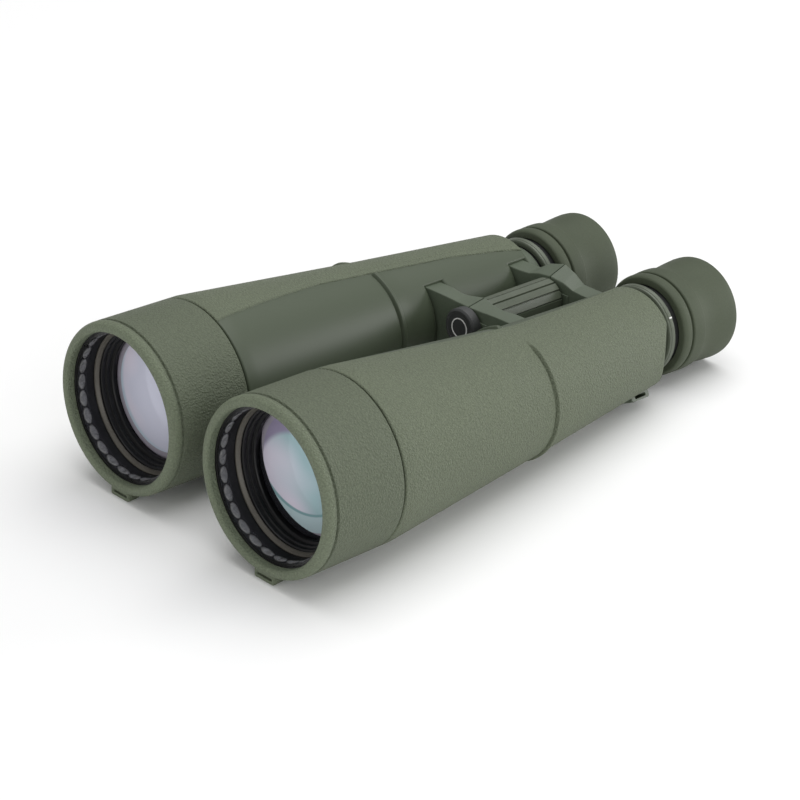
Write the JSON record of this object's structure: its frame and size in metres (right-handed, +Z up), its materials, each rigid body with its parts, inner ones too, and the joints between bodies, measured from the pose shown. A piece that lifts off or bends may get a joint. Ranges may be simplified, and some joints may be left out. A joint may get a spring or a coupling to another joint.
{
  "type": "astronomy binoculars",
  "caption": "Large-aperture roof-prism binoculars with an open double-bridge hinge, centre focus wheel, dioptre ring, rubber armour and twist-up eyecups.",
  "frame": {"origin": "middle of the underside, on the table plane that the front lugs and the eyecup rims lie on, halfway along and halfway across the binoculars", "axes": "+Y runs from the objectives back to the eyepieces along the longest extent, +Z is up, and +X is towards the user's left barrel; the barrels lean down at the rear by 3.52 degrees"},
  "size_m": [0.1736, 0.2926, 0.0817],
  "materials": {
    "armour_rubber": "fine pebbled matt",
    "eyecup_rubber": "smooth satin",
    "wheel_rubber": "ribbed, satin",
    "green_paint": "light alloy casting, satin green paint",
    "ring_paint": "satin grey-green paint",
    "black_anodised": "anodised, matt",
    "black_plastic": "fine matt",
    "grey_metal": "anodised",
    "brass": "machined",
    "coated_glass": "polished, anti-reflection coated",
    "clear_glass": "polished"
  },
  "bodies": {
    "left_half": {"left_objective_hood": "armour_rubber", "left_objective_tube": "black_anodised", "left_grip_ring": "black_anodised", "left_stray_light_ring": "grey_metal", "left_objective_cell": "black_anodised", "left_crown_element": "coated_glass", "left_flint_element": "coated_glass", "left_objective_lock_ring": "black_anodised", "left_barrel_armour": "armour_rubber", "left_body_casting": "green_paint", "left_strap_lug": "green_paint", "left_plain_prism": "clear_glass", "left_roof_prism": "clear_glass", "left_prism_cradle": "black_anodised", "left_eyepiece_tube": "black_anodised", "left_eye_lens": "coated_glass", "hinge_pin": "grey_metal", "tripod_insert": "grey_metal", "hinge_nut": "black_anodised"},
    "right_half": {"right_objective_hood": "armour_rubber", "right_objective_tube": "black_anodised", "right_grip_ring": "black_anodised", "right_stray_light_ring": "grey_metal", "right_objective_cell": "black_anodised", "right_crown_element": "coated_glass", "right_flint_element": "coated_glass", "right_objective_lock_ring": "black_anodised", "right_barrel_armour": "armour_rubber", "right_body_casting": "green_paint", "right_strap_lug": "green_paint", "right_plain_prism": "clear_glass", "right_roof_prism": "clear_glass", "right_prism_cradle": "black_anodised", "right_eyepiece_tube": "black_anodised", "right_eye_lens": "coated_glass", "right_field_lens_cell": "black_anodised", "right_field_lens": "clear_glass", "right_base_ring": "ring_paint", "front_hinge_bush": "brass", "rear_hinge_bush": "brass"},
    "focus_wheel": {"focus_wheel_core": "black_anodised", "focus_wheel_grip": "wheel_rubber", "focus_screw": "brass"},
    "focus_nut": {"focus_nut": "brass"},
    "left_focus_group": {"left_focus_cell": "black_anodised", "left_focus_lens": "coated_glass", "left_focus_arm": "grey_metal"},
    "right_focus_group": {"right_focus_cell": "black_anodised", "right_focus_lens": "coated_glass", "right_focus_arm": "grey_metal"},
    "dioptre_ring": {"left_dioptre_ring": "ring_paint"},
    "dioptre_group": {"left_field_lens_cell": "black_anodised", "left_field_lens": "clear_glass"},
    "left_cam": {"left_eyecup_cam": "black_plastic"},
    "right_cam": {"right_eyecup_cam": "black_plastic"},
    "left_cup": {"left_eyecup": "eyecup_rubber"},
    "right_cup": {"right_eyecup": "eyecup_rubber"},
    "hinge_cap": {"hinge_cap": "black_plastic"}
  },
  "joints": [
    {"name": "eye_spacing", "type": "hinge", "parent": "left_half", "child": "right_half", "pos_m": [0, 0.05629, 0.041], "axis": [0, 0.9981, -0.0615], "range_deg": [-43, 0]},
    {"name": "focus_wheel_turn", "type": "hinge", "parent": "left_half", "child": "focus_wheel", "pos_m": [0, 0.05629, 0.041], "axis": [0, 0.9981, -0.0615], "range_deg": [-270, 270]},
    {"name": "focus_nut_travel", "type": "slide", "parent": "left_half", "child": "focus_nut", "axis": [0, 0.9981, -0.0615], "range_m": [-0.0011, 0.0011]},
    {"name": "left_focus_travel", "type": "slide", "parent": "left_half", "child": "left_focus_group", "axis": [0, 0.9981, -0.0615], "range_m": [-0.0011, 0.0011]},
    {"name": "right_focus_travel", "type": "slide", "parent": "right_half", "child": "right_focus_group", "axis": [0, 0.9981, -0.0615], "range_m": [-0.0011, 0.0011]},
    {"name": "dioptre_turn", "type": "hinge", "parent": "left_half", "child": "dioptre_ring", "pos_m": [0.03735, 0.09856, 0.02778], "axis": [0, 0.9981, -0.0615], "range_deg": [-45, 45]},
    {"name": "dioptre_travel", "type": "slide", "parent": "left_half", "child": "dioptre_group", "axis": [0, 0.9981, -0.0615], "range_m": [-0.0008, 0.0008]},
    {"name": "left_eyecup_turn", "type": "hinge", "parent": "left_half", "child": "left_cam", "pos_m": [0.03735, 0.10494, 0.02738], "axis": [0, 0.9981, -0.0615], "range_deg": [-36, 114.6]},
    {"name": "left_eyecup_travel", "type": "slide", "parent": "left_cam", "child": "left_cup", "axis": [0, 0.9981, -0.0615], "range_m": [-0.0022, 0.007]},
    {"name": "right_eyecup_turn", "type": "hinge", "parent": "right_half", "child": "right_cam", "pos_m": [-0.03735, 0.10494, 0.02738], "axis": [0, 0.9981, -0.0615], "range_deg": [-36, 114.6]},
    {"name": "right_eyecup_travel", "type": "slide", "parent": "right_cam", "child": "right_cup", "axis": [0, 0.9981, -0.0615], "range_m": [-0.0022, 0.007]},
    {"name": "cap_off", "type": "slide", "parent": "left_half", "child": "hinge_cap", "axis": [0, -0.9981, 0.0615], "range_m": [0, 0.01]}
  ],
  "couplings": [
    {"joint": "focus_wheel_turn", "follows": "left_focus_travel", "rad_per_m": 4284.5},
    {"joint": "focus_nut_travel", "follows": "left_focus_travel", "ratio": 1},
    {"joint": "right_focus_travel", "follows": "left_focus_travel", "ratio": 1},
    {"joint": "dioptre_travel", "follows": "dioptre_turn", "m_per_rad": 0.0010185},
    {"joint": "left_eyecup_travel", "follows": "left_eyecup_turn", "m_per_rad": 0.0035},
    {"joint": "right_eyecup_travel", "follows": "right_eyecup_turn", "m_per_rad": 0.0035}
  ]
}
